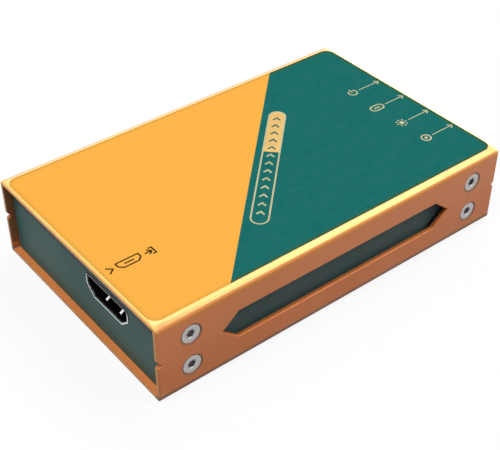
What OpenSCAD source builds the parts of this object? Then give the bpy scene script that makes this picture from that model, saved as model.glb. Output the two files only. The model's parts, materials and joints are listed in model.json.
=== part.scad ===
// Video capture box: two folded covers screwed round a chassis tray and two end panels.
// The video socket is at the front end. The data socket, the audio jack and two lamps are at the rear.
// Frame: +X from the front end to the rear end, +Z up, origin at the middle of the underside.

/* [Covers] */
// Length of the covers, end to end
case_length = 92; // [86:0.5:130]
// Width over the side walls
case_width = 58; // [55:0.5:80]
// Height of the two covers together
case_height = 19.4; // [18:0.1:24]
// Sheet thickness of the covers
cover_wall = 1; // [0.8:0.05:1.4]
// Inside radius of every fold in the sheet parts
fold_inside = 0.2; // [0.1:0.05:0.6]
// Chamfer along the open ends of the covers
end_chamfer = 0.25; // [0.1:0.05:0.5]
// Gap between the two covers at mid height
seam_gap = 0.03; // [0.02:0.01:0.2]
// Depth of the notch where the two covers meet at each end
notch_depth = 1.05; // [0.5:0.05:2]
// Height of the notch above the seam
notch_top = 1.25; // [0.3:0.05:2]
// Height of the notch below the seam
notch_bottom = 0.5; // [0.3:0.05:2]

/* [Side window] */
// Distance from the end of the covers to the tip of the window
window_end = 15; // [13:0.1:25]
// Length of the pointed part at each end of the window
window_taper = 4.1; // [2:0.1:8]
// Height of the window
window_height = 6.8; // [3:0.1:7]
// Chamfer round the outer edge of the window
window_chamfer = 0.15; // [0.05:0.05:0.3]

/* [Overlay] */
// Distance from the ends of the cover to the overlay pocket
overlay_end = 0.5; // [0.4:0.05:4]
// Distance from the sides of the cover to the overlay pocket
overlay_side = 1.55; // [1.4:0.05:6]
// Corner radius of the overlay pocket
overlay_corner = 2.4; // [1:0.1:6]
// Depth of the overlay pocket
overlay_pocket = 0.3; // [0.2:0.05:0.5]
// Thickness of the overlay film
overlay_film = 0.25; // [0.1:0.05:0.4]
// Gap round the overlay film
overlay_gap = 0.1; // [0.05:0.05:0.3]

/* [Chassis] */
// Sheet thickness of the tray
tray_wall = 1; // [0.8:0.1:1.4]
// Sheet thickness of the end panels
panel_wall = 0.8; // [0.6:0.1:1.2]
// Distance from the end of the covers to the outer face of a panel
panel_recess = 1.5; // [0.6:0.1:2.5]
// Sheet left behind the screws on a panel flange
flange_margin = 5; // [3:0.1:5]
// Clearance between sheets that lie side by side
sheet_gap = 0.05; // [0.02:0.01:0.15]

/* [Cover screws] */
// Distance from the end of the covers to the screws
screw_end = 7.8; // [7:0.1:9]
// Distance of the screws from the underside and from the top of the covers
screw_edge = 5.7; // [5:0.1:6]
// Thread diameter of the cover screws
screw_thread = 2.5; // [2:0.1:2.8]
// Head diameter of the cover screws
screw_head = 4.2; // [4:0.1:4.8]
// Overall length of the cover screws
screw_length = 4.6; // [4:0.1:4.7]
// Depth of the screw heads below the cover
head_sink = 0.15; // [0.05:0.05:0.3]
// Clearance between a head and its countersink
head_gap = 0.1; // [0.02:0.01:0.15]
// Diameter of the six-lobe drive
drive_size = 1.9; // [1.6:0.1:2.2]
// Depth of the six-lobe drive
drive_depth = 0.8; // [0.4:0.05:0.9]
// Chamfer round the mouth of the drive
drive_chamfer = 0.15; // [0.05:0.05:0.3]
// Clearance round a screw in a sheet
screw_gap = 0.25; // [0.15:0.05:0.3]
// Clearance round a screw in its thread
thread_gap = 0.03; // [0.01:0.01:0.06]
// Diameter of the clinch nuts
nut_size = 5; // [4.6:0.1:5.2]
// Height of the clinch nuts inside the tray wall
nut_height = 2; // [1.5:0.1:2.4]
// Diameter of the nut shank pressed into the tray wall
nut_shank = 3.8; // [3.5:0.1:4.2]

/* [Main board] */
// Thickness of the board
board_wall = 1.6; // [1:0.1:2]
// Gap between the board and each end panel
board_end_gap = 0.8; // [0.3:0.1:2]
// Gap between the board and the clinch nuts
board_side_gap = 0.7; // [0.3:0.1:2]
// Height of the standoffs above the tray floor
standoff_height = 5.4; // [4.5:0.1:6]
// Width of the standoffs across flats
standoff_size = 5; // [4.5:0.1:5.5]
// Diameter of the standoff shank pressed into the tray floor
standoff_shank = 4.2; // [3.8:0.1:4.4]
// Distance from the end of the board to its screws
board_screw_end = 15.5; // [13:0.1:18]
// Distance from the side of the board to its screws
board_screw_side = 3.5; // [3:0.1:5]
// Thread diameter of the board screws
board_screw = 2.5; // [2:0.1:2.8]
// Head diameter of the board screws
board_head = 4.6; // [4:0.1:5]
// Head height of the board screws
board_head_height = 1.7; // [1.2:0.1:2]
// Length of the board screws under the head
board_screw_length = 5; // [4:0.1:6]

/* [Video socket] */
// Distance of the video socket from the middle of the front panel
video_y = -9.7; // [-13:0.1:13]
// Width of the video socket opening
video_width = 14.2; // [13.8:0.1:14.6]
// Height of the video socket opening
video_height = 4.45; // [4.4:0.05:4.8]
// Height of the straight sides of the opening
video_side = 2.4; // [1.6:0.1:2.8]
// Width of the lower edge of the opening
video_bottom = 9.8; // [9.2:0.1:11.4]
// Corner radius of the opening
video_corner = 0.35; // [0.2:0.05:0.6]
// Wall of the video socket shell
video_wall = 0.4; // [0.25:0.05:0.5]
// Length of the video socket shell
video_depth = 11.5; // [10:0.1:13]
// Length of the closed block at the back of the video socket
video_block = 3; // [2:0.1:4]
// Width of the tongue in the video socket
video_tongue_width = 11; // [10.2:0.1:11.4]
// Thickness of the tongue in the video socket
video_tongue = 1.6; // [1.2:0.1:1.8]
// Distance from the mouth of the video socket to its tongue
video_tongue_start = 2; // [1:0.1:2.4]
// Number of contacts in the upper row
video_contacts = 10; // [8:1:10]
// Distance that the video socket stands out of the panel
video_proud = 0.1; // [0:0.05:0.6]

/* [Data socket] */
// Distance of the data socket from the middle of the rear panel
data_y = 0; // [-1:0.1:1]
// Width of the data socket opening
data_width = 8.34; // [8:0.02:8.6]
// Height of the data socket opening
data_height = 2.56; // [2.4:0.02:2.8]
// Wall of the data socket shell
data_wall = 0.3; // [0.2:0.05:0.4]
// Length of the data socket shell
data_depth = 7.4; // [6.5:0.1:9]
// Length of the closed block at the back of the data socket
data_block = 1.6; // [1:0.1:2.5]
// Width of the tongue in the data socket
data_tongue_width = 6.65; // [6.4:0.05:6.9]
// Thickness of the tongue in the data socket
data_tongue = 0.7; // [0.6:0.05:0.9]
// Distance from the mouth of the data socket to its tongue
data_tongue_start = 1.3; // [0.8:0.1:1.6]
// Number of contacts on each side of the data tongue
data_contacts = 12; // [8:1:12]

/* [Audio jack] */
// Distance of the audio jack from the middle of the rear panel
jack_y = -15.9; // [-17:0.1:-14]
// Bore of the audio jack
jack_bore = 3.6; // [3.5:0.05:3.8]
// Diameter of the round nose of the audio jack
jack_nose = 5.2; // [5:0.1:6]
// Length of the audio jack body
jack_length = 12; // [10:0.1:14]
// Width of the audio jack body
jack_width = 6.2; // [5.8:0.1:7]
// Height of the audio jack body
jack_height = 5.4; // [5:0.1:6]
// Distance that the nose stands out of the panel
jack_proud = 0.4; // [0:0.1:0.8]
// Closed end behind the bore of the audio jack
jack_floor = 1; // [0.6:0.1:2]

/* [Lamps] */
// Distance of the power lamp from the middle of the rear panel
power_y = 8.2; // [7.5:0.1:14]
// Distance of the status lamp from the middle of the rear panel
status_y = -8.2; // [-9.5:0.1:-7]
// Diameter of the light pipes
pipe_size = 2; // [1.6:0.1:2.2]
// Height of the light pipes above the board
pipe_rise = 2.4; // [2:0.1:4]
// Distance from the panel to the back of a light pipe
pipe_length = 5; // [4.4:0.1:7]
// Side of the foot of a light pipe
pipe_foot = 2.4; // [2.2:0.1:2.6]
// Distance that a light pipe stands out of the panel
pipe_proud = 0.2; // [0:0.05:0.6]
// Clearance round whatever passes through a panel
port_gap = 0.15; // [0.05:0.05:0.3]

/* [Chips] */
// Side of the capture chip
capture_size = 15; // [12:0.5:17]
// Height of the capture chip
capture_height = 1.4; // [1:0.1:2]
// Side of the heat sink
sink_size = 17; // [14:0.5:19]
// Thickness of the heat sink base
sink_base = 1; // [0.8:0.1:1.4]
// Height of the heat sink fins
sink_fin_height = 2.6; // [1.5:0.1:2.8]
// Thickness of the heat sink fins
sink_fin = 0.8; // [0.6:0.1:1]
// Number of heat sink fins
sink_fins = 7; // [4:1:8]
// Thickness of the thermal pad
pad_height = 0.5; // [0.3:0.1:1]

/* [Hidden] */
$fn = 64;

// Extra length on a cut so that it leaves the far face cleanly
over = 1;
mid_height = case_height / 2;
cover_fold = fold_inside + cover_wall;

// Room inside the covers, which the end panels fill from side to side and the tray from floor to top
room_bottom = cover_wall + sheet_gap;
room_height = case_height - 2 * room_bottom;
panel_width = case_width - 2 * room_bottom;
panel_face = case_length / 2 - panel_recess;
panel_back = panel_face - panel_wall;
flange_length = screw_end - panel_recess + flange_margin;
tray_width = panel_width - 2 * (panel_wall + sheet_gap);
tray_length = 2 * (panel_back - fold_inside - sheet_gap);
// Depth of the clinch nuts below the outer face of a cover's side wall
nut_depth = (case_width - tray_width) / 2 + tray_wall;

// Board
board_length = 2 * (panel_back - board_end_gap);
board_width = tray_width - 2 * (tray_wall + nut_height + board_side_gap);
board_bottom = room_bottom + tray_wall + standoff_height;
board_top = board_bottom + board_wall;
board_hole_x = board_length / 2 - board_screw_end;
board_hole_y = board_width / 2 - board_screw_side;
standoff_radius = standoff_size / 2 / cos(30);

// Heights of the sockets above the underside
video_z = board_top + video_wall + video_height / 2;
data_z = board_top + data_wall + data_height / 2;
jack_z = board_top + jack_height / 2;
pipe_z = board_top + pipe_rise;
video_mouth = -panel_face - video_proud;

// Lobes and core of the screw drive, as shares of its radius
lobe_share = 0.28;
core_share = 0.75;

// Cross drive of the board screws
cross_length = 2.8;
cross_width = 0.6;
cross_depth = 0.9;

// Spring fingers of the video socket: each rises to a peak near the mouth and runs back to the shell
finger_width = 0.6;
finger_length = 4.6;
finger_peak = 0.9;
finger_rise = 0.6;
finger_wall = 0.2;
finger_start = 1.3;
finger_spacing = 5;
finger_slot_gap = 0.3;

// Solder legs of the metal shells, one pair near each end
leg_width = 1.2;
leg_drop = 0.8;
leg_gap = 0.15;
video_legs = [3.4, 8.4];
data_legs = [3.2, 6];

// Contacts on the socket tongues
video_contact = [5.6, 0.5, 0.15];
video_pitch = 1;
data_contact = [3.6, 0.28, 0.08];
data_pitch = 0.5;
block_gap = 0.04;

// Sizes and places on the board of the small parts
lamp_size = [1.6, 0.8, 0.6];
lamp_room = 0.2;
terminal_wall = 0.3;
terminal_width = 1.5;
terminal_height = 3;
terminal_foot = 1;
terminal_x = [3, 8.5];
capture_place = [7, 1];
receiver_size = [12, 12, 1.2];
receiver_place = [-16, -7];
memory_size = [8, 12, 1.1];
memory_place = [-7.5, 8];
flash_size = [5, 6, 1.7];
flash_place = [-17, 8];
audio_size = [5, 5, 0.9];
audio_place = [20, -11];
crystal_size = [3.2, 2.5, 0.8];
crystal_places = [[-16, 2.2], [7, -11]];
inductor_size = [4, 4, 2];
inductor_places = [[20, 6.5], [20, 1]];
capacitor_radius = 2;
capacitor_height = 4.6;
capacitor_base = 0.8;
capacitor_places = [[-24, 11], [-24, 5], [25.5, 9]];
ceramic_size = [1.6, 0.8, 0.8];
ceramic_count = 8;
ceramic_pitch = 2.6;
ceramic_y = -14.6;

// Colours of the pieces
orange = "#f0962c";
teal = "#2b5f60";
bright_metal = "#c9ccd0";
dark_metal = "#8d9094";
black = "#1a1b1d";
gold = "#d2a94b";
board_green = "#1f5a3a";
clear = "#e8eeee";
lamp_green = "#7fd46a";
lamp_amber = "#e8c35a";
pad_grey = "#9aa7b0";
ceramic_tan = "#b08d62";

// A vector of length one
function unit(v) = v / norm(v);

// Points of the arc that rounds one corner of an outline
function corner_arc(before, at, after, radius, steps) =
    let (
        u = unit(before - at),
        v = unit(after - at),
        half = acos(u * v) / 2,
        middle = at + unit(u + v) * radius / sin(half),
        start = at + u * radius / tan(half) - middle,
        stop = at + v * radius / tan(half) - middle,
        from = atan2(start.y, start.x),
        swing = atan2(start.x * stop.y - start.y * stop.x, start * stop)
    )
    [for (i = [0 : steps]) middle + radius * [cos(from + swing * i / steps), sin(from + swing * i / steps)]];

// A convex outline with every corner rounded
function round_corners(points, radius, steps = 6) =
    let (n = len(points))
    [for (i = [0 : n - 1]) each
        corner_arc(points[(i + n - 1) % n], points[i], points[(i + 1) % n], radius, steps)];

// Outline of the video socket opening, grown outwards by a distance: y across, z up
function video_outline(grow) =
    let (
        half = video_width / 2,
        low = video_bottom / 2,
        top = video_height / 2,
        bend = top - video_side,
        slope = atan2(half - low, bend + top),
        shoulder = [half + grow, bend - grow * tan(slope / 2)],
        foot = [low + grow * tan((90 - slope) / 2), -top - grow]
    )
    round_corners([
        [half + grow, top + grow], [-half - grow, top + grow],
        [-shoulder.x, shoulder.y], [-foot.x, foot.y], foot, shoulder
    ], video_corner + grow);

// A flat shape in y and z, drawn out along X and centred
module along_x(length) {
    rotate([90, 0, 90])
        linear_extrude(height = length, center = true)
            children();
}

// A flat shape in x and z, drawn out along Y and centred
module along_y(length) {
    rotate([90, 0, 0])
        linear_extrude(height = length, center = true)
            children();
}

// Rectangle with round corners, centred
module round_rect(width, height, radius) {
    square([width - 2 * radius, height], center = true);
    square([width, height - 2 * radius], center = true);
    for (x = [-1, 1], y = [-1, 1])
        translate([x * (width / 2 - radius), y * (height / 2 - radius)])
            circle(r = radius);
}

// Rectangle with half-round ends, centred
module stadium(width, height) {
    square([width - height, height], center = true);
    for (side = [-1, 1])
        translate([side * (width - height) / 2, 0])
            circle(d = height);
}

// Rectangle with chamfered corners, centred
module chamfer_rect(width, height, chamfer) {
    x = width / 2;
    y = height / 2;
    polygon([
        [x - chamfer, y], [chamfer - x, y], [-x, y - chamfer], [-x, chamfer - y],
        [chamfer - x, -y], [x - chamfer, -y], [x, chamfer - y], [x, y - chamfer]
    ]);
}

// Children at every cover screw: origin on the side wall, +Z outwards
module at_cover_screws(levels = [-1, 1], ends = [-1, 1]) {
    for (end = ends, side = [-1, 1], level = levels)
        translate([
            end * (case_length / 2 - screw_end),
            side * case_width / 2,
            mid_height + level * (mid_height - screw_edge)
        ])
            rotate([-90 * side, 0, 0])
                children();
}

// Children at every board screw, at height zero
module at_board_screws() {
    for (x = [-1, 1], y = [-1, 1])
        translate([x * board_hole_x, y * board_hole_y, 0])
            children();
}

// Countersunk hole for a cover screw, from the outer face in to the depth of the nuts
module countersink() {
    top = screw_head / 2 + head_sink + head_gap;
    bottom = screw_thread / 2 + screw_gap;
    translate([0, 0, bottom - top])
        cylinder(h = top - bottom, r1 = bottom, r2 = top);
    translate([0, 0, -nut_depth])
        cylinder(h = nut_depth + over, r = bottom);
}

// Upper cover without its pocket: a folded sheet with half of each window and its share of the notches
module half_cover(notch_height) {
    difference() {
        intersection() {
            translate([0, 0, mid_height])
                along_x(case_length)
                    difference() {
                        round_rect(case_width, case_height, cover_fold);
                        round_rect(case_width - 2 * cover_wall, case_height - 2 * cover_wall, fold_inside);
                        translate([0, seam_gap / 2 - case_height / 2])
                            square([case_width + over, case_height], center = true);
                    }
            translate([0, 0, mid_height])
                along_y(case_width + over)
                    chamfer_rect(case_length, case_height, end_chamfer);
            linear_extrude(height = case_height + over)
                chamfer_rect(case_length, case_width, end_chamfer);
        }
        translate([0, 0, mid_height])
            along_y(case_width + over) {
                window_outline();
                end_notches(notch_height);
            }
        for (side = [-1, 1])
            translate([0, side * case_width / 2, mid_height])
                rotate([-90 * side, 0, 0])
                    window_edge();
        at_cover_screws(levels = [1])
            countersink();
    }
}

// Side view of the window: six-sided, pointed at both ends
module window_outline() {
    tip = case_length / 2 - window_end;
    polygon([
        [tip, 0], [tip - window_taper, window_height / 2], [window_taper - tip, window_height / 2],
        [-tip, 0], [window_taper - tip, -window_height / 2], [tip - window_taper, -window_height / 2]
    ]);
}

// Cut that chamfers the outer edge of a window: origin on the side wall, +Z outwards
module window_edge() {
    hull() {
        translate([0, 0, -window_chamfer])
            linear_extrude(height = window_chamfer)
                window_outline();
        linear_extrude(height = over)
            offset(delta = window_chamfer)
                window_outline();
    }
}

// Side view of the slanted notch above the seam at each end
module end_notches(height) {
    for (end = [0, 1])
        mirror([end, 0])
            translate([case_length / 2, 0])
                polygon([[-notch_depth, 0], [over, 0], [over, height * (1 + over / notch_depth)]]);
}

// Overlay outline in plan, drawn in by a distance
module overlay_plan(inset) {
    round_rect(
        case_length - 2 * (overlay_end + inset),
        case_width - 2 * (overlay_side + inset),
        overlay_corner - inset
    );
}

module top_cover() {
    color(orange)
        difference() {
            half_cover(notch_top);
            translate([0, 0, case_height - overlay_pocket])
                linear_extrude(height = overlay_pocket + over)
                    overlay_plan(0);
        }
}

module bottom_cover() {
    color(orange)
        translate([0, 0, case_height])
            mirror([0, 0, 1])
                half_cover(notch_bottom);
}

module top_overlay() {
    color(teal)
        translate([0, 0, case_height - overlay_pocket])
            linear_extrude(height = overlay_film)
                overlay_plan(overlay_gap);
}

// Tray: a floor with a wall folded up along each side
module chassis_tray() {
    fold = fold_inside + tray_wall;
    color(teal)
        difference() {
            translate([0, 0, room_bottom])
                along_x(tray_length)
                    difference() {
                        translate([0, room_height])
                            round_rect(tray_width, 2 * room_height, fold);
                        translate([0, room_height])
                            round_rect(tray_width - 2 * tray_wall, 2 * (room_height - tray_wall), fold_inside);
                        translate([0, 2 * room_height])
                            square([tray_width + over, 2 * room_height], center = true);
                    }
            at_cover_screws()
                cylinder(h = 2 * nut_depth + over, d = nut_shank + 2 * thread_gap, center = true);
            at_board_screws()
                cylinder(h = board_bottom, d = standoff_shank + 2 * thread_gap);
        }
}

// End panel at the rear end: a plate that fills the opening of the covers, with a flange folded back
// between the covers and the tray on each side. Its long corners are cut to clear the covers' folds.
module end_panel() {
    difference() {
        intersection() {
            translate([panel_face - flange_length, 0, room_bottom])
                linear_extrude(height = room_height)
                    difference() {
                        round_rect(2 * flange_length, panel_width, fold_inside + panel_wall);
                        round_rect(2 * (flange_length - panel_wall), panel_width - 2 * panel_wall, fold_inside);
                        translate([-flange_length, 0])
                            square([2 * flange_length, panel_width + over], center = true);
                    }
            translate([panel_face - flange_length / 2, 0, mid_height])
                along_x(flange_length + over)
                    chamfer_rect(panel_width, room_height, fold_inside);
        }
        at_cover_screws(ends = [1])
            countersink();
    }
}

module front_panel() {
    color(teal)
        difference() {
            rotate([0, 0, 180])
                end_panel();
            translate([-panel_face, video_y, video_z])
                along_x(2 * panel_wall + over)
                    polygon(video_outline(video_wall + port_gap));
        }
}

module rear_panel() {
    color(teal)
        difference() {
            end_panel();
            translate([panel_face, data_y, data_z])
                along_x(2 * panel_wall + over)
                    stadium(data_width + 2 * (data_wall + port_gap), data_height + 2 * (data_wall + port_gap));
            translate([panel_face, jack_y, jack_z])
                along_x(2 * panel_wall + over)
                    circle(d = jack_nose + 2 * port_gap);
            for (y = [power_y, status_y])
                translate([panel_face, y, pipe_z])
                    along_x(2 * panel_wall + over)
                        circle(d = pipe_size + 2 * port_gap);
        }
}

// Flat-head screw with a six-lobe drive, its axis along Z and its head up
module flat_head_screw() {
    head = screw_head / 2;
    shank = screw_thread / 2;
    lobe = drive_size / 2;
    translate([0, 0, -head_sink])
        difference() {
            rotate_extrude()
                polygon([
                    [0, 0], [head, 0], [shank, shank - head], [shank, -screw_length], [0, -screw_length]
                ]);
            translate([0, 0, -drive_depth])
                linear_extrude(height = drive_depth + over) {
                    circle(r = lobe * core_share);
                    for (turn = [0 : 60 : 300])
                        rotate(turn)
                            translate([lobe * (1 - lobe_share), 0])
                                circle(r = lobe * lobe_share);
                }
            translate([0, 0, -drive_chamfer])
                cylinder(h = drive_chamfer, r1 = lobe, r2 = lobe + drive_chamfer);
        }
}

module cover_screws() {
    color(bright_metal)
        at_cover_screws()
            flat_head_screw();
}

module clinch_nuts() {
    color(dark_metal)
        at_cover_screws()
            difference() {
                union() {
                    translate([0, 0, -nut_depth])
                        cylinder(h = tray_wall, d = nut_shank);
                    translate([0, 0, -nut_depth - nut_height])
                        cylinder(h = nut_height, d = nut_size);
                }
                translate([0, 0, -nut_depth - nut_height - over])
                    cylinder(h = nut_depth + nut_height + over, r = screw_thread / 2 + thread_gap);
            }
}

module board_standoffs() {
    color(dark_metal)
        at_board_screws()
            difference() {
                union() {
                    translate([0, 0, room_bottom])
                        cylinder(h = tray_wall, d = standoff_shank);
                    translate([0, 0, board_bottom - standoff_height])
                        cylinder(h = standoff_height, r = standoff_radius, $fn = 6);
                }
                cylinder(h = board_top, r = board_screw / 2 + thread_gap);
            }
}

module main_board() {
    color(board_green)
        difference() {
            translate([-board_length / 2, -board_width / 2, board_bottom])
                cube([board_length, board_width, board_wall]);
            at_board_screws()
                translate([0, 0, board_bottom - over])
                    cylinder(h = board_wall + 2 * over, r = board_screw / 2 + screw_gap);
            at_video_legs()
                shell_leg(video_wall, leg_gap);
            at_data_legs()
                shell_leg(data_wall, leg_gap);
        }
}

module board_screws() {
    color(bright_metal)
        at_board_screws()
            translate([0, 0, board_top])
                difference() {
                    rotate_extrude()
                        polygon([
                            [0, board_head_height], [board_head / 2, board_head_height], [board_head / 2, 0],
                            [board_screw / 2, 0], [board_screw / 2, -board_screw_length], [0, -board_screw_length]
                        ]);
                    for (turn = [0, 90])
                        rotate(turn)
                            translate([-cross_length / 2, -cross_width / 2, board_head_height - cross_depth])
                                cube([cross_length, cross_width, cross_depth + over]);
                }
}

// Children at every solder leg of the video shell: origin on the board's top, at the shell's side
module at_video_legs() {
    for (x = video_legs, side = [-1, 1])
        translate([
            video_mouth + x,
            video_y + side * (video_width + video_wall) / 2,
            board_top
        ])
            children();
}

// Children at every solder leg of the data shell
module at_data_legs() {
    for (x = data_legs, side = [-1, 1])
        translate([
            panel_face - x,
            data_y + side * (data_width + data_wall) / 2,
            board_top
        ])
            children();
}

// Solder leg through the board, from the board's top down, grown by a gap on each side
module shell_leg(wall, gap) {
    translate([-leg_width / 2 - gap, -wall / 2 - gap, -board_wall - leg_drop])
        cube([leg_width + 2 * gap, wall + 2 * gap, board_wall + leg_drop + gap]);
}

module video_socket_shell() {
    color(bright_metal) {
        difference() {
            translate([video_mouth + video_depth / 2, video_y, video_z])
                along_x(video_depth)
                    difference() {
                        polygon(video_outline(video_wall));
                        polygon(video_outline(0));
                    }
            at_video_fingers()
                translate([-finger_slot_gap, 0, -video_wall - over])
                    linear_extrude(height = video_wall + 2 * over)
                        translate([0, -finger_width / 2 - finger_slot_gap])
                            square([finger_length, finger_width + 2 * finger_slot_gap]);
        }
        at_video_fingers()
            rotate([90, 0, 0])
                linear_extrude(height = finger_width, center = true)
                    polygon([
                        [0, 0], [finger_peak, finger_rise], [finger_length, 0], [finger_length, -video_wall],
                        [finger_peak, finger_rise - finger_wall], [0, -finger_wall]
                    ]);
        at_video_legs()
            translate([-leg_width / 2, -video_wall / 2, -board_wall - leg_drop])
                cube([leg_width, video_wall, board_wall + leg_drop + video_wall + video_height - video_side / 2]);
    }
}

// Children at every spring finger: origin on the inner face near the mouth, +X inwards, +Z into the opening
module at_video_fingers() {
    for (side = [-1, 1], face = [0, 1])
        translate([
            video_mouth + finger_start,
            video_y + side * finger_spacing / 2,
            video_z + (face - 0.5) * video_height
        ])
            mirror([0, 0, face])
                children();
}

module video_socket_insulator() {
    tongue_length = video_depth - video_tongue_start;
    color(black) {
        translate([video_mouth + video_depth - video_block / 2, video_y, video_z])
            along_x(video_block)
                polygon(video_outline(-block_gap));
        translate([
            video_mouth + video_tongue_start,
            video_y - video_tongue_width / 2,
            video_z - video_tongue / 2
        ])
            cube([tongue_length, video_tongue_width, video_tongue]);
    }
}

// A row of contacts lying on a tongue: origin at the row's front end, +X along the strips
module contact_row(count, pitch, strip) {
    for (i = [0 : count - 1])
        translate([0, (i - (count - 1) / 2) * pitch - strip.y / 2, 0])
            cube(strip);
}

module video_socket_contacts() {
    front = video_mouth + video_tongue_start + video_contact.y;
    color(gold) {
        translate([front, video_y, video_z + video_tongue / 2])
            contact_row(video_contacts, video_pitch, video_contact);
        translate([front, video_y, video_z - video_tongue / 2])
            mirror([0, 0, 1])
                contact_row(video_contacts - 1, video_pitch, video_contact);
    }
}

module data_socket_shell() {
    color(bright_metal) {
        translate([panel_face - data_depth / 2, data_y, data_z])
            along_x(data_depth)
                difference() {
                    stadium(data_width + 2 * data_wall, data_height + 2 * data_wall);
                    stadium(data_width, data_height);
                }
        at_data_legs()
            translate([-leg_width / 2, -data_wall / 2, -board_wall - leg_drop])
                cube([leg_width, data_wall, board_wall + leg_drop + data_wall + data_height / 2]);
    }
}

module data_socket_insulator() {
    tongue_length = data_depth - data_tongue_start;
    color(black) {
        translate([panel_face - data_depth + data_block / 2, data_y, data_z])
            along_x(data_block)
                stadium(data_width - 2 * block_gap, data_height - 2 * block_gap);
        translate([panel_face - data_depth, data_y - data_tongue_width / 2, data_z - data_tongue / 2])
            cube([tongue_length, data_tongue_width, data_tongue]);
    }
}

module data_socket_contacts() {
    front = panel_face - data_tongue_start - data_contact.y - data_contact.x;
    color(gold)
        for (face = [0, 1])
            translate([front, data_y, data_z + (0.5 - face) * data_tongue])
                mirror([0, 0, face])
                    contact_row(data_contacts, data_pitch, data_contact);
}

module audio_jack_body() {
    body_front = panel_back - port_gap;
    mouth = panel_face + jack_proud;
    bore_length = mouth - body_front + jack_length - jack_floor;
    color(black)
        difference() {
            union() {
                translate([body_front - jack_length, jack_y - jack_width / 2, board_top])
                    cube([jack_length, jack_width, jack_height]);
                translate([body_front - over, jack_y, jack_z])
                    rotate([0, 90, 0])
                        cylinder(h = mouth - body_front + over, d = jack_nose);
            }
            translate([mouth - bore_length, jack_y, jack_z])
                rotate([0, 90, 0])
                    cylinder(h = bore_length + over, d = jack_bore);
        }
}

// Four terminals against the sides of the jack, each with a foot on the board
module audio_jack_terminals() {
    color(bright_metal)
        for (x = terminal_x, side = [0, 1])
            translate([panel_back - port_gap - x, jack_y + (side - 0.5) * jack_width, board_top])
                mirror([0, 1 - side, 0]) {
                    translate([-terminal_width / 2, 0, 0])
                        cube([terminal_width, terminal_wall, terminal_height]);
                    translate([-terminal_width / 2, 0, 0])
                        cube([terminal_width, terminal_foot, terminal_wall]);
                }
}

// Light pipe: a rod through the panel and a foot that stands on the board over a lamp
module light_pipe(y) {
    back = panel_face - pipe_length;
    foot_top = pipe_z + pipe_foot / 2;
    color(clear)
        difference() {
            union() {
                translate([back, y, pipe_z])
                    rotate([0, 90, 0])
                        cylinder(h = pipe_length + pipe_proud, d = pipe_size);
                translate([back, y, 0])
                    along_y(pipe_foot)
                        polygon([
                            [0, board_top], [pipe_foot, board_top], [pipe_foot, foot_top],
                            [pipe_foot / 2, foot_top], [0, foot_top - pipe_foot / 2]
                        ]);
            }
            translate([back + pipe_foot / 2, y, board_top])
                cube([
                    lamp_size.x + lamp_room, lamp_size.y + lamp_room, 2 * (lamp_size.z + lamp_room)
                ], center = true);
        }
}

module power_light_pipe() {
    light_pipe(power_y);
}

module status_light_pipe() {
    light_pipe(status_y);
}

// Surface-mounted lamp under the foot of a light pipe
module board_lamp(y) {
    translate([panel_face - pipe_length + pipe_foot / 2, y, board_top + lamp_size.z / 2])
        cube(lamp_size, center = true);
}

module power_lamp() {
    color(lamp_green)
        board_lamp(power_y);
}

module status_lamp() {
    color(lamp_amber)
        board_lamp(status_y);
}

// Flat package on the board with a small dimple at its first corner
module chip(place, size) {
    dimple = 0.5;
    dimple_depth = 0.1;
    translate([place.x, place.y, board_top])
        difference() {
            translate([-size.x / 2, -size.y / 2, 0])
                cube(size);
            translate([2 * dimple - size.x / 2, size.y / 2 - 2 * dimple, size.z - dimple_depth])
                cylinder(h = over, r = dimple);
        }
}

module video_receiver_chip() {
    color(black)
        chip(receiver_place, receiver_size);
}

module capture_chip() {
    color(black)
        chip(capture_place, [capture_size, capture_size, capture_height]);
}

module thermal_pad() {
    color(pad_grey)
        translate([capture_place.x, capture_place.y, board_top + capture_height + pad_height / 2])
            cube([capture_size, capture_size, pad_height], center = true);
}

module chip_heat_sink() {
    pitch = (sink_size - sink_fin) / (sink_fins - 1);
    color(dark_metal)
        translate([
            capture_place.x - sink_size / 2,
            capture_place.y - sink_size / 2,
            board_top + capture_height + pad_height
        ]) {
            cube([sink_size, sink_size, sink_base]);
            for (i = [0 : sink_fins - 1])
                translate([0, i * pitch, 0])
                    cube([sink_size, sink_fin, sink_base + sink_fin_height]);
        }
}

module memory_chip() {
    color(black)
        chip(memory_place, memory_size);
}

module flash_chip() {
    color(black)
        chip(flash_place, flash_size);
}

module audio_chip() {
    color(black)
        chip(audio_place, audio_size);
}

module clock_crystals() {
    color(bright_metal)
        for (place = crystal_places)
            translate([place.x, place.y, board_top + crystal_size.z / 2])
                cube(crystal_size, center = true);
}

module power_inductors() {
    color(dark_metal)
        for (place = inductor_places)
            translate([place.x, place.y, board_top + inductor_size.z / 2])
                cube(inductor_size, center = true);
}

module bulk_capacitors() {
    side = 2 * capacitor_radius;
    color(bright_metal)
        for (place = capacitor_places)
            translate([place.x, place.y, board_top]) {
                translate([-side / 2, -side / 2, 0])
                    cube([side, side, capacitor_base]);
                cylinder(h = capacitor_height, r = capacitor_radius);
            }
}

module chip_capacitors() {
    color(ceramic_tan)
        for (i = [0 : ceramic_count - 1])
            translate([
                capture_place.x + (i - (ceramic_count - 1) / 2) * ceramic_pitch,
                ceramic_y,
                board_top + ceramic_size.z / 2
            ])
                cube(ceramic_size, center = true);
}

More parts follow.
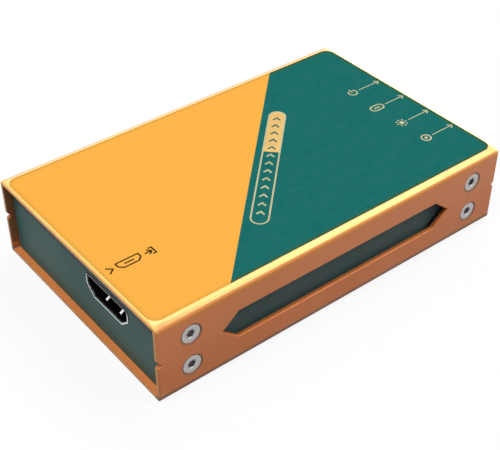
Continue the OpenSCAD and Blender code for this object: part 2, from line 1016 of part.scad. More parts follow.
top_cover();
bottom_cover();
top_overlay();
chassis_tray();
front_panel();
rear_panel();
cover_screws();
clinch_nuts();
board_standoffs();
main_board();
board_screws();
video_socket_shell();
video_socket_insulator();
video_socket_contacts();
data_socket_shell();
data_socket_insulator();
data_socket_contacts();
audio_jack_body();
audio_jack_terminals();
power_light_pipe();
status_light_pipe();
power_lamp();
status_lamp();
video_receiver_chip();
capture_chip();
thermal_pad();
chip_heat_sink();
memory_chip();
flash_chip();
audio_chip();
clock_crystals();
power_inductors();
bulk_capacitors();
chip_capacitors();
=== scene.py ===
"""Looks of a video capture box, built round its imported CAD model.

Lengths are in metres, unless a name ends in MM or a docstring says mm. Colours are sRGB, from 0 to 255.
"""

import json
import math

import bmesh
import bpy
from mathutils import Matrix, Vector


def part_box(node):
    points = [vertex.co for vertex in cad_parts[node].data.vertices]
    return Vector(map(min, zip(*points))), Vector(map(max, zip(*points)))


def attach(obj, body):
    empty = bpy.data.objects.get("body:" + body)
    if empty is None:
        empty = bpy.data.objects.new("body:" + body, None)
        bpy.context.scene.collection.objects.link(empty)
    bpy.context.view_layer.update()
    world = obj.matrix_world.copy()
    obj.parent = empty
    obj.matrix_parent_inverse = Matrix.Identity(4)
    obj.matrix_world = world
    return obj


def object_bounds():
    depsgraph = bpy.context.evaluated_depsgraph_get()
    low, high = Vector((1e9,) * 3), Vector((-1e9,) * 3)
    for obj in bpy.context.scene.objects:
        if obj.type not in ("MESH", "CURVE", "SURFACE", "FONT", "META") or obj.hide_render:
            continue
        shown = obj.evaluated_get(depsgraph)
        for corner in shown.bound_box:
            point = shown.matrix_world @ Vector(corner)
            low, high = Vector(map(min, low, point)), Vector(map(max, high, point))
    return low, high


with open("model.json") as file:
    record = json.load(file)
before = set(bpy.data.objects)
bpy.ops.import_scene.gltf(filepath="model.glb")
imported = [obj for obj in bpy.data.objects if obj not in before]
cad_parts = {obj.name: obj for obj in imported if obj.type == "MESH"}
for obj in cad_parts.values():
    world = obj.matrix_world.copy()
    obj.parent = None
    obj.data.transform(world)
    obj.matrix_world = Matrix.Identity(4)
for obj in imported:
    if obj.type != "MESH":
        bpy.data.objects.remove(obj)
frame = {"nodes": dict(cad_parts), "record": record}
cad_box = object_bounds()
nodes = frame["nodes"]

MM = 0.001

# The case, and the nodes whose places the looks follow
CASE_LOW, CASE_HIGH = cad_box
MIDDLE = (CASE_LOW + CASE_HIGH) / 2
FILM_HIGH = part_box("top_overlay")[1]
FILM_CORNER_MM = 2.3
SCREWS_LOW, SCREWS_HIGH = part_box("cover_screws")
SCREW_HEAD_MM = 2.1
VIDEO_SOCKET_Y_MM = -9.7
FINGER_SPACING_MM = 5

# Camera of the photograph: angles are in degrees, and lens and sensor in mm
CAMERA_PLACE_MM = (-118.59, -147.08, 154.38)
CAMERA_AZIMUTH = -38.588
CAMERA_ELEVATION = 38.818
CAMERA_ROLL = 0.194
CAMERA_LENS = 77.24
CAMERA_CLIP_START = 0.01
SENSOR_WIDTH = 36

# Orange coat of the covers: its own colour, then tones of painted light and shade
PAINT_ORANGE = (247, 142, 71)
# Deeper low on the walls: painted shade
LOWER_SHADE_ORANGE = (243, 134, 57)
# Golden on the upper bends, and paler on the rims of the top, most of all at the ends: painted highlight
# besides the coat's gloss
FOLD_HIGHLIGHT_ORANGE = (250, 150, 42)
RIM_HIGHLIGHT_ORANGE = (246, 166, 100)
FRONT_RIM_HIGHLIGHT = (250, 180, 98)
REAR_RIM_HIGHLIGHT = (250, 226, 164)
# Inner half of the walls' thickness, round windows and ends: painted shade
INNER_SHADE_ORANGE = (170, 114, 74)
# Low at the ends, on the sills: painted light
SILL_LIGHT_ORANGE = (250, 152, 84)
# Faces that look along the length, the cut ends: a tone painted for the light on them; paler at the lip of
# the top as painted light
CUT_END_LIGHT_ORANGE = (232, 160, 84)
LIP_LIGHT_ORANGE = (252, 184, 96)
# Along the foot and round the screws: painted shade
FOOT_SHADE_ORANGE = (160, 116, 90)
RING_SHADE_ORANGE = (172, 116, 90)

# Where each orange tone starts and is full: depth below a face of the case, height, or radius at a screw
WALL_DEPTH_MM = (1.7, 1)
INNER_DEPTH_MM = (0.2, 0.9)
RIM_END_DEPTH_MM = (0.8, 0.6)
SILL_END_DEPTH_MM = (1.8, 1.5)
FOLD_DEPTH_MM = (2.2, 1.2)
RIM_DEPTH_MM = (1.2, 0.5)
LIP_DEPTH_MM = (1.8, 1.5)
LOWER_HEIGHT_MM = (15, 5)
SILL_HEIGHT_MM = (3, 2)
FOOT_HEIGHT_MM = (1.9, 1.2)
RING_RADIUS_MM = (2.6, 2.4)

# Gloss of the orange coat: metallic share on walls and rims, and roughness where dull and where glossy
COAT_METALLIC = (0.15, 0.6)
COAT_ROUGHNESS = (0.5, 0.18)

# A face of the covers is a cut end when its direction lies this far along the length
CUT_END_FACING = 0.9

# Both coats drift to this share of their brightness, and get this much rougher
COAT_DRIFT = 0.95
COAT_ROUGHER = 0.05

# Teal coat of the tray and the panels, with painted shadow and painted light, and where its tones start and
# are full
PAINT_TEAL = (54, 102, 98)
# Under the top cover's edges: painted shadow
UNDER_LIP_SHADOW = (38, 36, 44)
# Paler on the tray's sides, most of all low down: painted light against the shade there
TRAY_SIDE_LIGHT = (76, 104, 103)
TRAY_SIDE_LOW_LIGHT = (108, 136, 136)
TRAY_DEPTH_MM = (2.4, 2.1)
TRAY_SIDE_HEIGHT_MM = (6, 10.5)
PANEL_DEPTH_MM = (1.8, 1.6)
UNDER_LIP_DEPTH_MM = (5.6, 3.2)
TEAL_ROUGHNESS = 0.4

# Steel of the screws, and where the painted shade of the drive recess starts and is full
STEEL = (164, 161, 158)
STEEL_PALE = (184, 181, 178)
STEEL_ROUGHNESS = (0.3, 0.44)
# Middle of the drive recess: painted shade
RECESS_SHADE_STEEL = (124, 120, 127)
RECESS_DEPTH_MM = (0.22, 0.3)
RECESS_RADIUS_MM = (1.2, 0.4)

# Plating of the socket shells, with painted shadow, painted shade and paler fingers, and where its tones
# start and are full
SHELL_NICKEL = (190, 193, 195)
SHELL_NICKEL_PALE = (206, 208, 210)
SHELL_ROUGHNESS = (0.3, 0.42)
# Top of the mouth: painted shadow
SHELL_TOP_SHADOW = (96, 90, 98)
# Inside the shell: painted shade
SHELL_INSIDE_SHADE = (34, 35, 38)
# Spring fingers: nickel, paler as a painted highlight
FINGER_HIGHLIGHT_NICKEL = (226, 228, 228)
SHELL_TOP_HEIGHT_MM = (12.8, 13.8)
SHELL_INSIDE_DEPTH_MM = (1.55, 1.85)
FINGER_DEPTH_MM = (2.5, 2.7)
FINGER_HALF_WIDTH_MM = (0.4, 0.35)

# Frosted rods of the light pipes
CLEAR = (232, 238, 237)
CLEAR_PALE = (240, 244, 243)
CLEAR_ROUGHNESS = (0.2, 0.24)

# Plain metals by slot: name, colour, paler colour, and least roughness
METAL_ROUGHER = 0.12
METALS = {
    "plain_steel": ("zinc_plated", (150, 152, 154), (168, 169, 170), 0.35),
    "plated_steel": ("nickel_plated", (204, 206, 209), (220, 221, 223), 0.2),
    "gold_contacts": ("gold_plated", (214, 172, 88), (224, 184, 104), 0.2),
    "sink_aluminium": ("plain_aluminium", (176, 178, 181), (190, 191, 193), 0.35),
}

# Moulded materials by slot: name, colour, paler colour, and roughness, which goes this far either way
RESIN_SPREAD = 0.05
RESINS = {
    "black_plastic": ("black_resin", (10, 10, 11), (14, 14, 15), 0.45),
    "board_laminate": ("board_resist", (20, 84, 52), (26, 94, 58), 0.35),
    "lamp_green": ("lamp_green_resin", (120, 205, 100), (135, 215, 112), 0.3),
    "lamp_amber": ("lamp_amber_resin", (232, 190, 84), (238, 200, 100), 0.3),
    "chip_resin": ("chip_resin", (24, 24, 26), (30, 30, 32), 0.5),
    "pad_rubber": ("pad_silicone", (150, 163, 172), (160, 172, 180), 0.7),
    "ferrite": ("ferrite_grey", (58, 58, 60), (66, 66, 68), 0.6),
    "ceramic": ("fired_ceramic", (176, 141, 98), (186, 152, 110), 0.4),
}

# Inks of the film, and how far in from its edge the darker border of painted shade starts and is full
PRINT_ORANGE = (241, 169, 69)
# Along the edge of the film: painted shade
PRINT_ORANGE_EDGE_SHADE = (218, 162, 66)
PRINT_TEAL = (23, 101, 96)
PRINT_TEAL_EDGE_SHADE = (50, 92, 64)
PRINT_DARK = (62, 52, 24)
PRINT_CREAM = (196, 190, 150)
PRINT_PALE = (228, 188, 118)
PRINT_WHITE = (255, 255, 255)
FILM_BORDER_MM = (1, 0.2)

# Inks drift to this share of their colour, and are mottled with this much white
INK_DRIFT = 0.94
INK_MOTTLE = 0.006
INK_ROUGHNESS = (0.5, 0.58)

# The print is split by a straight line: teal where x minus lean times y is greater than a length
PRINT_SPLIT_MM = -0.58
PRINT_SPLIT_LEAN = 0.991

# Printed marks: thickness of the ink, widths of lines, a small arrow head, and places on the top
INK_MM = 0.012
LINE_MM = 0.36
LEADER_MM = 0.7 * LINE_MM
HEAD_REACH_MM = 0.8
HEAD_HEIGHT_MM = 1.5
REAR_MARK_X_MM = 36.4
LEADER_END_X_MM = 44.4
POWER_MARK_Y_MM = 8.2
DATA_MARK_Y_MM = -0.1
STATUS_MARK_Y_MM = -8.2
AUDIO_MARK_Y_MM = -15.9
VIDEO_MARK_MM = (-44.1, -10.2)

# Stretches of a round line and of a half-round end; points nearer than the last value are one point
ROUND_STEPS = 28
ROUND_END_STEPS = 14
SAME_POINT = 1e-8

# Capsule beside the split: its middle along and across the split, its turn, its size and its fill
CAPSULE_ALONG_MM = 0.3
CAPSULE_ACROSS_MM = 3.1
CAPSULE_TURN = 45
CAPSULE_LENGTH_MM = 42
CAPSULE_HEIGHT_MM = 4.1
CAPSULE_FILL_START_MM = 4.6
CAPSULE_FILL_MARGIN_MM = 1

# Arrow heads in the capsule: how many, their reach, height and line width, and where the tip is in the pitch
CAPSULE_CHEVRONS = 13
CAPSULE_CHEVRON_MM = (0.9, 1.7, 0.42)
CAPSULE_CHEVRON_TIP = 0.75

# Floor of pale paper, and surround: light that they give, and white where they are seen
FLOOR_SIZE = 6
FLOOR_GAP_MM = 0.05
FLOOR_BOUNCE = (120, 120, 120)
FLOOR_FIBRE = (92, 92, 91)
FLOOR_FIBRE_PALE = (95, 95, 95)
FLOOR_GLOW = 0.88
SURROUND_LIGHT = 0.1
SURROUND_SEEN = 1.0
WHITE_LIGHT = (1, 1, 1, 1)

# Soft lamps: name, place, direction of the first side, lengths of the sides, and watts
LAMPS = (
    ("strip_right", (0.5, -0.183, 0.668), (0, 0.935, 0.355), (1.25, 0.44), 4.9),
    ("behind", (0.496, 0.591, 0.636), (0.766, -0.643, 0), (0.68, 0.55), 2.7),
    ("left_behind", (-0.58, 0.62, 0.31), (0.62, 0.75, -0.33), (0.3, 0.12), 0.32),
    ("above_left", (-0.3, -0.03, 0.8), (0, 1, 0), (0.4, 0.4), 4.15),
)

# Sockets of a colour mix node, which share their names with its sockets for other types
MIX_FACTOR, MIX_FIRST, MIX_SECOND = 0, 6, 7
MIX_RESULT = 2

# Range in which most values of a noise lie
NOISE_LOW, NOISE_HIGH = 0.35, 0.65


def linear(rgb):
    """Scene colour of an sRGB colour."""
    channels = []
    for value in rgb:
        share = value / 255
        channels.append(share / 12.92 if share <= 0.04045 else ((share + 0.055) / 1.055) ** 2.4)
    return (*channels, 1)


class Look:
    """A material under construction: its node tree, and short ways to add nodes to it."""

    def __init__(self, name, **sockets):
        self.material = bpy.data.materials.new(name)
        self.material.use_nodes = True
        self.tree = self.material.node_tree
        self.shader = self.tree.nodes["Principled BSDF"]
        for socket, value in sockets.items():
            self.shader.inputs[socket.replace("_", " ")].default_value = value
        coordinates = self.tree.nodes.new("ShaderNodeTexCoord")
        self.place = coordinates.outputs["Object"]

    def node(self, kind, inputs=(), **settings):
        """A new node with its settings and inputs; an input is a value or another node's output."""
        made = self.tree.nodes.new(kind)
        for name, value in settings.items():
            setattr(made, name, value)
        for key, value in dict(inputs).items():
            if isinstance(value, bpy.types.NodeSocket):
                self.tree.links.new(value, made.inputs[key])
            else:
                made.inputs[key].default_value = value
        return made

    def set(self, socket, output):
        """Links an output to a socket of the shader."""
        self.tree.links.new(output, self.shader.inputs[socket])

    def math(self, operation, *values):
        """The result of a math operation on numbers or outputs."""
        made = self.node("ShaderNodeMath", dict(enumerate(values)), operation=operation)
        return made.outputs[0]

    def both(self, first, second):
        """Share of the surface where two shares hold at once."""
        return self.math("MULTIPLY", first, second)

    def ramp(self, value, start, stop, low=0, high=1):
        """A number that goes from low to high as a value goes from start to stop."""
        made = self.node("ShaderNodeMapRange", {
            "Value": value, "From Min": start, "From Max": stop, "To Min": low, "To Max": high})
        return made.outputs["Result"]

    def rise(self, length, start_mm, stop_mm):
        """A share that goes from 0 to 1 as a length goes from start to stop."""
        return self.ramp(length, start_mm * MM, stop_mm * MM)

    def vary(self, noise, low=0, high=1):
        """A number that goes from low to high with a noise."""
        return self.ramp(noise, NOISE_LOW, NOISE_HIGH, low, high)

    def noise(self, scale, detail, stretch=(1, 1, 1)):
        """Noise between 0 and 1 whose grains are about 1/scale metres wide."""
        mapping = self.node("ShaderNodeMapping", {"Vector": self.place, "Scale": stretch})
        inputs = {"Vector": mapping.outputs[0], "Scale": scale, "Detail": detail}
        return self.node("ShaderNodeTexNoise", inputs).outputs["Fac"]

    def blend(self, share, first, second):
        """A colour that goes from the first to the second with a share; each is sRGB or an output."""
        colours = []
        for colour in (first, second):
            colours.append(colour if isinstance(colour, bpy.types.NodeSocket) else linear(colour))
        inputs = {MIX_FACTOR: share, MIX_FIRST: colours[0], MIX_SECOND: colours[1]}
        return self.node("ShaderNodeMix", inputs, data_type="RGBA").outputs[MIX_RESULT]

    def bump(self, height, distance, strength):
        """Lets a height between 0 and 1 shape the surface, distance metres deep."""
        made = self.node("ShaderNodeBump", {"Height": height, "Distance": distance, "Strength": strength})
        self.set("Normal", made.outputs[0])

    def axes(self):
        """The three coordinates of the shaded point."""
        return self.node("ShaderNodeSeparateXYZ", {"Vector": self.place}).outputs

    def depths(self):
        """Depths of the shaded point below the nearer end, the nearer long side and the top."""
        axes = self.axes()
        depths = []
        for axis, outer in zip("XYZ", CASE_HIGH):
            depths.append(self.math("SUBTRACT", outer, self.math("ABSOLUTE", axes[axis])))
        return depths

    def length(self, x, y):
        """Length of a flat vector."""
        vector = self.node("ShaderNodeCombineXYZ", {0: x, 1: y})
        measured = self.node("ShaderNodeVectorMath", {0: vector.outputs[0]}, operation="LENGTH")
        return measured.outputs["Value"]


def screw_distance(look):
    """Distance from the axis of the nearest cover screw."""
    axes = look.axes()
    middle = (SCREWS_LOW.z + SCREWS_HIGH.z) / 2
    height = look.math("ABSOLUTE", look.math("SUBTRACT", axes["Z"], middle))
    above = look.math("SUBTRACT", height, SCREWS_HIGH.z - middle - SCREW_HEAD_MM * MM)
    along = look.math("SUBTRACT", look.math("ABSOLUTE", axes["X"]), SCREWS_HIGH.x - SCREW_HEAD_MM * MM)
    return look.length(along, above)


def satin_coat(look, colour, roughness):
    """Satin coat: a very fine grain, and tone and gloss that drift a little over the sheet."""
    drift = look.noise(scale=60, detail=3)
    deeper = look.node("ShaderNodeHueSaturation", {"Color": colour, "Value": COAT_DRIFT}).outputs[0]
    look.set("Base Color", look.blend(look.vary(drift), colour, deeper))
    look.set("Roughness", look.math("ADD", roughness, look.vary(drift, 0, COAT_ROUGHER)))
    look.bump(look.noise(scale=5200, detail=2), distance=0.002 * MM, strength=0.3)
    return look.material


def teal_coat():
    """Teal satin coat of the panels and the tray.

    It is paler on the tray's sides, most of all low down, as painted light against their shade, and dark on
    the panels under the top cover's edges, as a painted shadow.
    """
    look = Look("teal_satin", IOR=1.5, Specular_IOR_Level=0.12)
    below_end, below_side, below_top = look.depths()
    tray = look.rise(below_side, *TRAY_DEPTH_MM)
    tray_colour = look.blend(look.rise(look.axes()["Z"], *TRAY_SIDE_HEIGHT_MM), TRAY_SIDE_LOW_LIGHT, TRAY_SIDE_LIGHT)
    panel = look.rise(below_end, *PANEL_DEPTH_MM)
    under_lip_shadow = look.both(panel, look.rise(below_top, *UNDER_LIP_DEPTH_MM))
    colour = look.blend(under_lip_shadow, look.blend(tray, PAINT_TEAL, tray_colour), UNDER_LIP_SHADOW)
    return satin_coat(look, colour, TEAL_ROUGHNESS)


def orange_coat():
    """Orange satin coat of the covers.

    It is glossy along the rims of the top, and paler there as a painted highlight, most of all at the ends;
    golden on the upper bends as a painted highlight, and deeper toward the foot as painted shade. The cut
    ends of the sheet are duller, with a tone painted for the light on them, and paler at the lip of the top
    and low at the ends as painted light. Painted shade darkens the inner half of the walls, the foot and
    the rings round the screws.
    """
    look = Look("orange_satin", IOR=1.5, Specular_IOR_Level=0.4)
    axes = look.axes()
    below_end, below_side, below_top = look.depths()
    normal = look.node("ShaderNodeNewGeometry").outputs["Normal"]
    facing = look.node("ShaderNodeSeparateXYZ", {"Vector": normal}).outputs
    wall = look.rise(below_side, *WALL_DEPTH_MM)
    rim = look.rise(below_top, *RIM_DEPTH_MM)
    rim_end = look.both(rim, look.rise(below_end, *RIM_END_DEPTH_MM))
    sill_end = look.rise(below_end, *SILL_END_DEPTH_MM)
    cut = look.math("GREATER_THAN", look.math("ABSOLUTE", facing["X"]), CUT_END_FACING)
    lower = look.both(wall, look.rise(axes["Z"], *LOWER_HEIGHT_MM))
    fold = look.both(wall, look.rise(below_top, *FOLD_DEPTH_MM))
    front_rim = look.both(rim_end, look.math("LESS_THAN", axes["X"], 0))
    rear_rim = look.both(rim_end, look.math("GREATER_THAN", axes["X"], 0))
    inner = look.both(look.math("SUBTRACT", wall, rim), look.rise(below_side, *INNER_DEPTH_MM))
    sill = look.both(sill_end, look.rise(axes["Z"], *SILL_HEIGHT_MM))
    lip = look.both(cut, look.rise(below_top, *LIP_DEPTH_MM))
    foot = look.both(wall, look.rise(axes["Z"], *FOOT_HEIGHT_MM))
    ring = look.both(wall, look.rise(screw_distance(look), *RING_RADIUS_MM))
    colour = PAINT_ORANGE
    gloss = 1
    for share, tint, dulling in (
        (lower, LOWER_SHADE_ORANGE, 0.45),
        (fold, FOLD_HIGHLIGHT_ORANGE, 0),
        (rim, RIM_HIGHLIGHT_ORANGE, 0),
        (front_rim, FRONT_RIM_HIGHLIGHT, 0.3),
        (rear_rim, REAR_RIM_HIGHLIGHT, 0),
        (inner, INNER_SHADE_ORANGE, 0.8),
        (sill, SILL_LIGHT_ORANGE, 0.2),
        (cut, CUT_END_LIGHT_ORANGE, 0.6),
        (lip, LIP_LIGHT_ORANGE, 0),
        (foot, FOOT_SHADE_ORANGE, 1),
        (ring, RING_SHADE_ORANGE, 1),
    ):
        colour = look.blend(share, colour, tint)
        gloss = look.math("MULTIPLY", gloss, look.ramp(share, 0, 1, 1, 1 - dulling))
    look.set("Metallic", look.math("MULTIPLY", gloss, look.ramp(rim, 0, 1, *COAT_METALLIC)))
    return satin_coat(look, colour, look.ramp(gloss, 0, 1, *COAT_ROUGHNESS))


def film_ink(name, ink_of):
    """Matt ink on the film, with a faint mottle. ink_of gives the ink's colour for a look."""
    look = Look(name, IOR=1.46, Specular_IOR_Level=0.0)
    mottle = look.vary(look.noise(scale=700, detail=3), 0, INK_MOTTLE)
    look.set("Base Color", look.blend(mottle, ink_of(look), PRINT_WHITE))
    look.set("Roughness", look.vary(look.noise(scale=40, detail=2), *INK_ROUGHNESS))
    look.bump(look.noise(scale=6000, detail=2), distance=0.002 * MM, strength=0.4)
    return look.material


def film_border(look):
    """A share that is 1 along the edge of the film, round its corners too, and 0 away from it."""
    axes = look.axes()
    beyond = []
    for axis, half in (("X", FILM_HIGH.x), ("Y", FILM_HIGH.y)):
        outward = look.math("SUBTRACT", look.math("ABSOLUTE", axes[axis]), half - FILM_CORNER_MM * MM)
        beyond.append(look.math("MAXIMUM", outward, 0))
    start, stop = (FILM_CORNER_MM - inward for inward in FILM_BORDER_MM)
    return look.rise(look.length(*beyond), start, stop)


def split_ink(look):
    """Orange and teal either side of the straight split; painted shade a little darker along the film's edge.
    """
    axes = look.axes()
    across = look.math("SUBTRACT", axes["X"], look.math("MULTIPLY", axes["Y"], PRINT_SPLIT_LEAN))
    teal_side = look.math("GREATER_THAN", across, PRINT_SPLIT_MM * MM)
    inner = look.blend(teal_side, PRINT_ORANGE, PRINT_TEAL)
    edge = look.blend(teal_side, PRINT_ORANGE_EDGE_SHADE, PRINT_TEAL_EDGE_SHADE)
    return look.blend(film_border(look), inner, edge)


def plain_ink(colour):
    """An ink that drifts slightly in tone, for a mark of one colour."""
    deeper = tuple(INK_DRIFT * value for value in colour)
    return lambda look: look.blend(look.vary(look.noise(scale=300, detail=2)), colour, deeper)


def turned_steel():
    """Steel screw head with fine turning marks, and painted shade darker in the middle of its drive recess.
    """
    look = Look("turned_steel", Metallic=1.0)
    streaks = look.noise(scale=9000, detail=2, stretch=(1, 1, 6))
    below_side = look.depths()[1]
    recess = look.both(
        look.rise(below_side, *RECESS_DEPTH_MM), look.rise(screw_distance(look), *RECESS_RADIUS_MM))
    head = look.blend(look.vary(streaks), STEEL, STEEL_PALE)
    look.set("Base Color", look.blend(recess, head, RECESS_SHADE_STEEL))
    look.set("Roughness", look.vary(streaks, *STEEL_ROUGHNESS))
    look.bump(streaks, distance=0.003 * MM, strength=0.4)
    return look.material


def drawing_lines(look):
    """Faint lines along the length of drawn sheet metal."""
    return look.noise(scale=4000, detail=2, stretch=(0.08, 1, 1))


def plated_metal(name, colour, paler, roughness):
    """Plated or plain metal with faint drawing lines along its length."""
    look = Look(name, Metallic=1.0)
    lines = drawing_lines(look)
    look.set("Base Color", look.blend(look.vary(lines), colour, paler))
    look.set("Roughness", look.vary(lines, roughness, roughness + METAL_ROUGHER))
    return look.material


def socket_plating():
    """Nickel plating of a socket shell: bright at the mouth, with a painted shadow at its top, and painted
    shade inside but for the spring fingers, whose paler nickel is partly a painted highlight.
    """
    look = Look("socket_nickel", Metallic=1.0)
    axes = look.axes()
    below_end = look.depths()[0]
    lines = drawing_lines(look)
    bright = look.blend(look.vary(lines), SHELL_NICKEL, SHELL_NICKEL_PALE)
    mouth = look.blend(look.rise(axes["Z"], *SHELL_TOP_HEIGHT_MM), bright, SHELL_TOP_SHADOW)
    from_middle = look.math("ABSOLUTE", look.math("SUBTRACT", axes["Y"], VIDEO_SOCKET_Y_MM * MM))
    from_finger = look.math("ABSOLUTE", look.math("SUBTRACT", from_middle, FINGER_SPACING_MM / 2 * MM))
    finger = look.both(look.rise(from_finger, *FINGER_HALF_WIDTH_MM), look.rise(below_end, *FINGER_DEPTH_MM))
    inside = look.blend(finger, SHELL_INSIDE_SHADE, FINGER_HIGHLIGHT_NICKEL)
    look.set("Base Color", look.blend(look.rise(below_end, *SHELL_INSIDE_DEPTH_MM), mouth, inside))
    look.set("Roughness", look.vary(lines, *SHELL_ROUGHNESS))
    return look.material


def moulded_plastic(name, colour, paler, roughness):
    """Moulded resin with a fine spark-eroded grain."""
    look = Look(name, IOR=1.5)
    grain = look.noise(scale=7000, detail=2)
    mottle = look.vary(look.noise(scale=300, detail=2))
    look.set("Base Color", look.blend(mottle, colour, paler))
    look.set("Roughness", look.vary(grain, roughness - RESIN_SPREAD, roughness + RESIN_SPREAD))
    look.bump(grain, distance=0.003 * MM, strength=0.5)
    return look.material


def clear_plastic():
    """Frosted clear rod of a light pipe."""
    look = Look("clear_plastic", IOR=1.49, Transmission_Weight=0.3)
    haze = look.noise(scale=900, detail=1)
    look.set("Base Color", look.blend(haze, CLEAR, CLEAR_PALE))
    look.set("Roughness", look.vary(haze, *CLEAR_ROUGHNESS))
    return look.material


def dress_nodes():
    """Gives every CAD node the look of its slot in the record; the socket shells have their own."""
    looks = {
        "orange_paint": orange_coat(),
        "teal_paint": teal_coat(),
        "overlay_print": film_ink("split_film", split_ink),
        "screw_steel": turned_steel(),
        "clear_plastic": clear_plastic(),
    }
    for slot_name, finish in METALS.items():
        looks[slot_name] = plated_metal(*finish)
    for slot_name, finish in RESINS.items():
        looks[slot_name] = moulded_plastic(*finish)
    shell = socket_plating()
    own_looks = {"video_socket_shell": shell, "data_socket_shell": shell}
    for part in frame["record"]["subparts"]:
        look = own_looks.get(part["node"], looks[part["material_slot"]])
        for slot in nodes[part["node"]].material_slots:
            slot.material = look


def arc(radius, middle=(0, 0), start=0, sweep=360, steps=ROUND_STEPS):
    """Points along a circle, in mm, from a start angle in degrees."""
    count = steps if sweep == 360 else steps + 1
    points = []
    for i in range(count):
        turn = math.radians(start + sweep * i / steps)
        points.append(Vector((middle[0] + radius * math.cos(turn), middle[1] + radius * math.sin(turn))))
    return points


def round_end(radius, x, start):
    """Half circle about a point of the X axis, in mm, from a start angle in degrees."""
    return arc(radius, (x, 0), start, 180, ROUND_END_STEPS)


def capsule(length, height):
    """Outline of a bar with half-round ends, centred, in mm."""
    reach = (length - height) / 2
    return round_end(height / 2, reach, -90) + round_end(height / 2, -reach, 90)


def band(points, width, closed=False):
    """A line of even width through points, in mm, as one four-sided face for each stretch."""
    points = [Vector(point) for point in points]
    count = len(points)
    edges = []
    for i, point in enumerate(points):
        before = points[i - 1] if closed or i > 0 else point
        after = points[(i + 1) % count] if closed or i < count - 1 else point
        into = (point - before).normalized() if before != point else (after - point).normalized()
        out = (after - point).normalized() if after != point else into
        across = Vector((-(into + out).y, (into + out).x)).normalized()
        reach = width / 2 / across.dot(Vector((-into.y, into.x)))
        edges.append((point + across * reach, point - across * reach))
    stretches = range(count if closed else count - 1)
    return [[*edges[i], *reversed(edges[(i + 1) % count])] for i in stretches]


def line(points):
    """An open line of the marks' usual width, in mm."""
    return band(points, LINE_MM)


def loop(points):
    """A closed line of the marks' usual width, in mm."""
    return band(points, LINE_MM, closed=True)


def chevron(reach, height, width):
    """An arrow head that points along +X, its tip at the origin, in mm."""
    return band([(-reach, height / 2), (0, 0), (-reach, -height / 2)], width)


def shifted(faces, x):
    """The same faces moved along X, in mm."""
    return [[Vector(point) + Vector((x, 0)) for point in face] for face in faces]


def print_mark(name, faces, place_mm, look, turn=0, layer=0):
    """Prints flat faces, in mm about a place on the top, as a thin layer of ink on the film."""
    shape = bmesh.new()
    rotation = Matrix.Rotation(math.radians(turn), 2)
    low = FILM_HIGH.z + layer * INK_MM * MM
    for face in faces:
        spots = [(rotation @ Vector(point) + Vector(place_mm)) * MM for point in face]
        shape.faces.new([shape.verts.new((*spot, low)) for spot in spots])
    bmesh.ops.remove_doubles(shape, verts=shape.verts, dist=SAME_POINT)
    grown = bmesh.ops.extrude_face_region(shape, geom=shape.faces[:])
    raised = [item for item in grown["geom"] if isinstance(item, bmesh.types.BMVert)]
    bmesh.ops.translate(shape, verts=raised, vec=(0, 0, INK_MM * MM))
    bmesh.ops.recalc_face_normals(shape, faces=shape.faces)
    mesh = bpy.data.meshes.new(name)
    shape.to_mesh(mesh)
    shape.free()
    mark = bpy.data.objects.new(name, mesh)
    mark.data.materials.append(look)
    bpy.context.scene.collection.objects.link(mark)
    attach(mark, "root")


def power_sign():
    """A ring with a gap, and a bar that stands in the gap."""
    radius = 1.05
    gap = 70
    bar_low, bar_high = 0.1, 1.45
    ring = arc(radius, start=90 + gap / 2, sweep=360 - gap)
    return line(ring) + line([(0, bar_low), (0, bar_high)])


def data_sign():
    """A socket's mouth with round ends, and its tongue."""
    length, height = 3.6, 1.9
    half_tongue = 0.9
    return loop(capsule(length, height)) + line([(-half_tongue, 0), (half_tongue, 0)])


def lamp_sign():
    """A disc with eight rays."""
    disc_radius = 0.62
    ray_start, ray_stop = 0.95, 1.4
    faces = [arc(disc_radius)]
    for turn in range(0, 360, 45):
        ray = Vector((math.cos(math.radians(turn)), math.sin(math.radians(turn))))
        faces += line([ray_start * ray, ray_stop * ray])
    return faces


def audio_sign():
    """A ring with a disc in its middle."""
    ring_radius, disc_radius = 1.1, 0.42
    return loop(arc(ring_radius)) + [arc(disc_radius)]


def print_rear_marks(look):
    """Pictograms at the rear end, each with a line that leads toward its lamp or socket."""
    leader_stop = LEADER_END_X_MM - REAR_MARK_X_MM
    head = shifted(chevron(HEAD_REACH_MM, HEAD_HEIGHT_MM, LINE_MM), leader_stop + LINE_MM / 2)
    for name, sign, y, leader_start in (
        ("mark_power", power_sign(), POWER_MARK_Y_MM, 1.9),
        ("mark_data_socket", data_sign(), DATA_MARK_Y_MM, 2.6),
        ("mark_status_lamp", lamp_sign(), STATUS_MARK_Y_MM, 2.1),
        ("mark_audio_jack", audio_sign(), AUDIO_MARK_Y_MM, 1.9),
    ):
        leader = band([(leader_start, 0), (leader_stop, 0)], LEADER_MM)
        print_mark(name, sign + leader + head, (REAR_MARK_X_MM, y), look)


